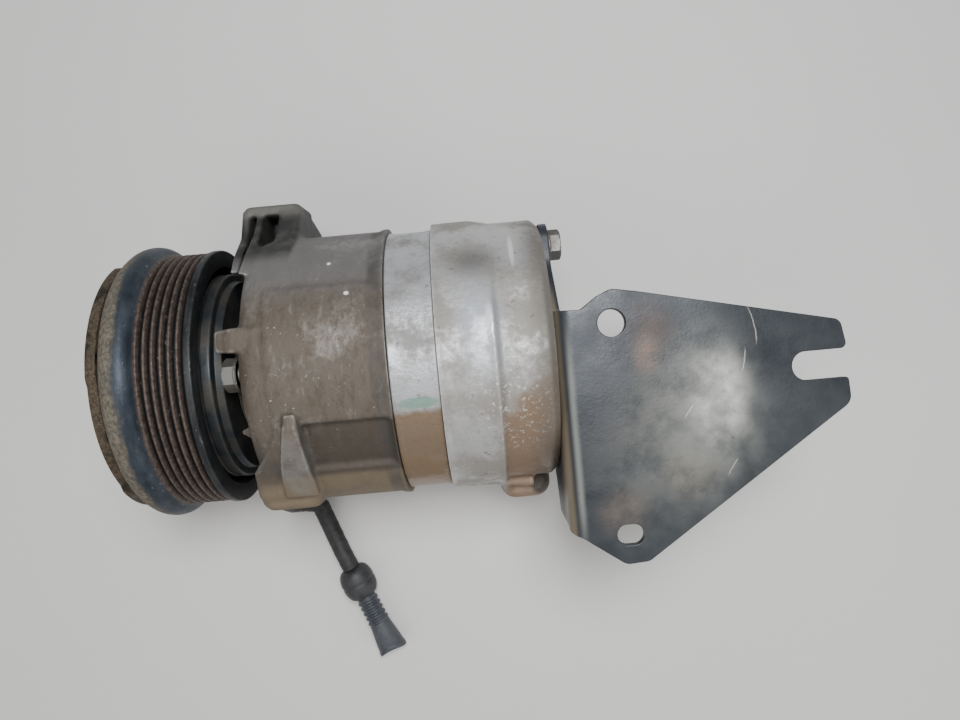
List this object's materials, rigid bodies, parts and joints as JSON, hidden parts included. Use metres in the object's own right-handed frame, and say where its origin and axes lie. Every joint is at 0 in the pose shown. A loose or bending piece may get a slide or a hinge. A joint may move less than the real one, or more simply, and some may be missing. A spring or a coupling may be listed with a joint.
{
  "type": "automotive air conditioning compressor",
  "caption": "Belt-driven air conditioning compressor with a grooved clutch pulley, cast casing, mounting ears, folded rear bracket and coil lead.",
  "frame": {"origin": "under the middle of the compressor and its bracket, on the plane of the three mounting ear faces", "axes": "+X along the shaft from the pulley to the rear bracket, +Y towards the upper front ear, +Z away from the engine-side ear faces"},
  "size_m": [0.3362, 0.2532, 0.1367],
  "materials": {
    "cast_aluminium": "as-cast, dirty",
    "machined_aluminium": "turned",
    "pulley_steel": "worn dark paint with rust",
    "rusty_steel": "rusty",
    "bright_steel": "ground",
    "bracket_steel": "worn dark phosphate",
    "zinc_steel": "dull zinc",
    "copper": "enamelled winding in resin",
    "gasket_fibre": "matt",
    "black_rubber": "matt",
    "lead_sleeve": "dusty braided sleeve",
    "brass": "satin"
  },
  "bodies": {
    "housing": {"front_housing": "cast_aluminium", "cylinder_block": "cast_aluminium", "rear_head": "cast_aluminium", "suction_reed_plate": "bright_steel", "valve_plate": "bright_steel", "discharge_reed_plate": "bright_steel", "head_gasket": "gasket_fibre", "housing_seal": "black_rubber", "thrust_bearing": "bright_steel", "front_shaft_bearing": "bright_steel", "rear_shaft_bearing": "bright_steel", "shaft_seal": "black_rubber", "seal_retaining_ring": "bright_steel", "guide_pin": "bright_steel", "return_spring": "bright_steel", "bearing_inner_race": "bright_steel", "bearing_ball_ring": "bright_steel", "pulley_snap_ring": "bright_steel", "coil_retaining_ring": "bright_steel", "coil_shell": "pulley_steel", "coil_winding": "copper", "relief_valve": "brass", "control_valve": "brass", "rear_bracket": "bracket_steel", "lead_socket": "black_rubber", "coil_lead": "lead_sleeve", "lead_grommet": "black_rubber", "lead_connector": "lead_sleeve", "through_bolt_1": "zinc_steel", "through_bolt_2": "zinc_steel", "through_bolt_3": "zinc_steel", "through_bolt_4": "zinc_steel", "through_bolt_5": "zinc_steel", "bracket_bolt_1": "zinc_steel", "bracket_bolt_2": "zinc_steel", "bracket_bolt_3": "zinc_steel"},
    "pulley": {"pulley": "pulley_steel", "bearing_outer_race": "bright_steel"},
    "shaft": {"drive_shaft": "bright_steel", "drive_rotor": "zinc_steel", "clutch_hub": "zinc_steel", "shaft_nut": "zinc_steel"},
    "armature": {"armature_plate": "rusty_steel", "armature_spring_1": "bright_steel", "armature_spring_2": "bright_steel", "armature_spring_3": "bright_steel"},
    "swash": {"swash_journal": "zinc_steel", "wobble_plate": "bright_steel"},
    "pump_1": {"piston_1": "machined_aluminium", "piston_rod_1": "bright_steel"},
    "pump_2": {"piston_2": "machined_aluminium", "piston_rod_2": "bright_steel"},
    "pump_3": {"piston_3": "machined_aluminium", "piston_rod_3": "bright_steel"},
    "pump_4": {"piston_4": "machined_aluminium", "piston_rod_4": "bright_steel"},
    "pump_5": {"piston_5": "machined_aluminium", "piston_rod_5": "bright_steel"}
  },
  "joints": [
    {"name": "pulley_spin", "type": "hinge", "parent": "housing", "child": "pulley", "pos_m": [-0.15125, 0.00675, 0.07], "axis": [1, 0, 0], "continuous": true},
    {"name": "shaft_spin", "type": "hinge", "parent": "housing", "child": "shaft", "pos_m": [-0.14495, 0.00675, 0.07], "axis": [1, 0, 0], "continuous": true},
    {"name": "armature_slide", "type": "slide", "parent": "shaft", "child": "armature", "axis": [1, 0, 0], "range_m": [0, 0.0005], "stiffness_N_per_m": 20000},
    {"name": "swash_tilt", "type": "hinge", "parent": "housing", "child": "swash", "pos_m": [-0.05846, 0.00675, 0.07], "axis": [0, 1, 0], "range_deg": [0, 14], "stiffness_Nm_per_rad": 6},
    {"name": "piston_slide_1", "type": "slide", "parent": "housing", "child": "pump_1", "axis": [1, 0, 0], "range_m": [0, 0.00713]},
    {"name": "piston_slide_2", "type": "slide", "parent": "housing", "child": "pump_2", "axis": [1, 0, 0], "range_m": [0, 0.00713]},
    {"name": "piston_slide_3", "type": "slide", "parent": "housing", "child": "pump_3", "axis": [1, 0, 0], "range_m": [-0.00273, 0]},
    {"name": "piston_slide_4", "type": "slide", "parent": "housing", "child": "pump_4", "axis": [1, 0, 0], "range_m": [-0.00881, 0]},
    {"name": "piston_slide_5", "type": "slide", "parent": "housing", "child": "pump_5", "axis": [1, 0, 0], "range_m": [-0.00273, 0]}
  ],
  "couplings": [
    {"joint": "piston_slide_1", "follows": "swash_tilt", "m_per_rad": 0.029125},
    {"joint": "piston_slide_2", "follows": "swash_tilt", "m_per_rad": 0.029125},
    {"joint": "piston_slide_3", "follows": "swash_tilt", "m_per_rad": -0.011125},
    {"joint": "piston_slide_4", "follows": "swash_tilt", "m_per_rad": -0.036},
    {"joint": "piston_slide_5", "follows": "swash_tilt", "m_per_rad": -0.011125}
  ]
}
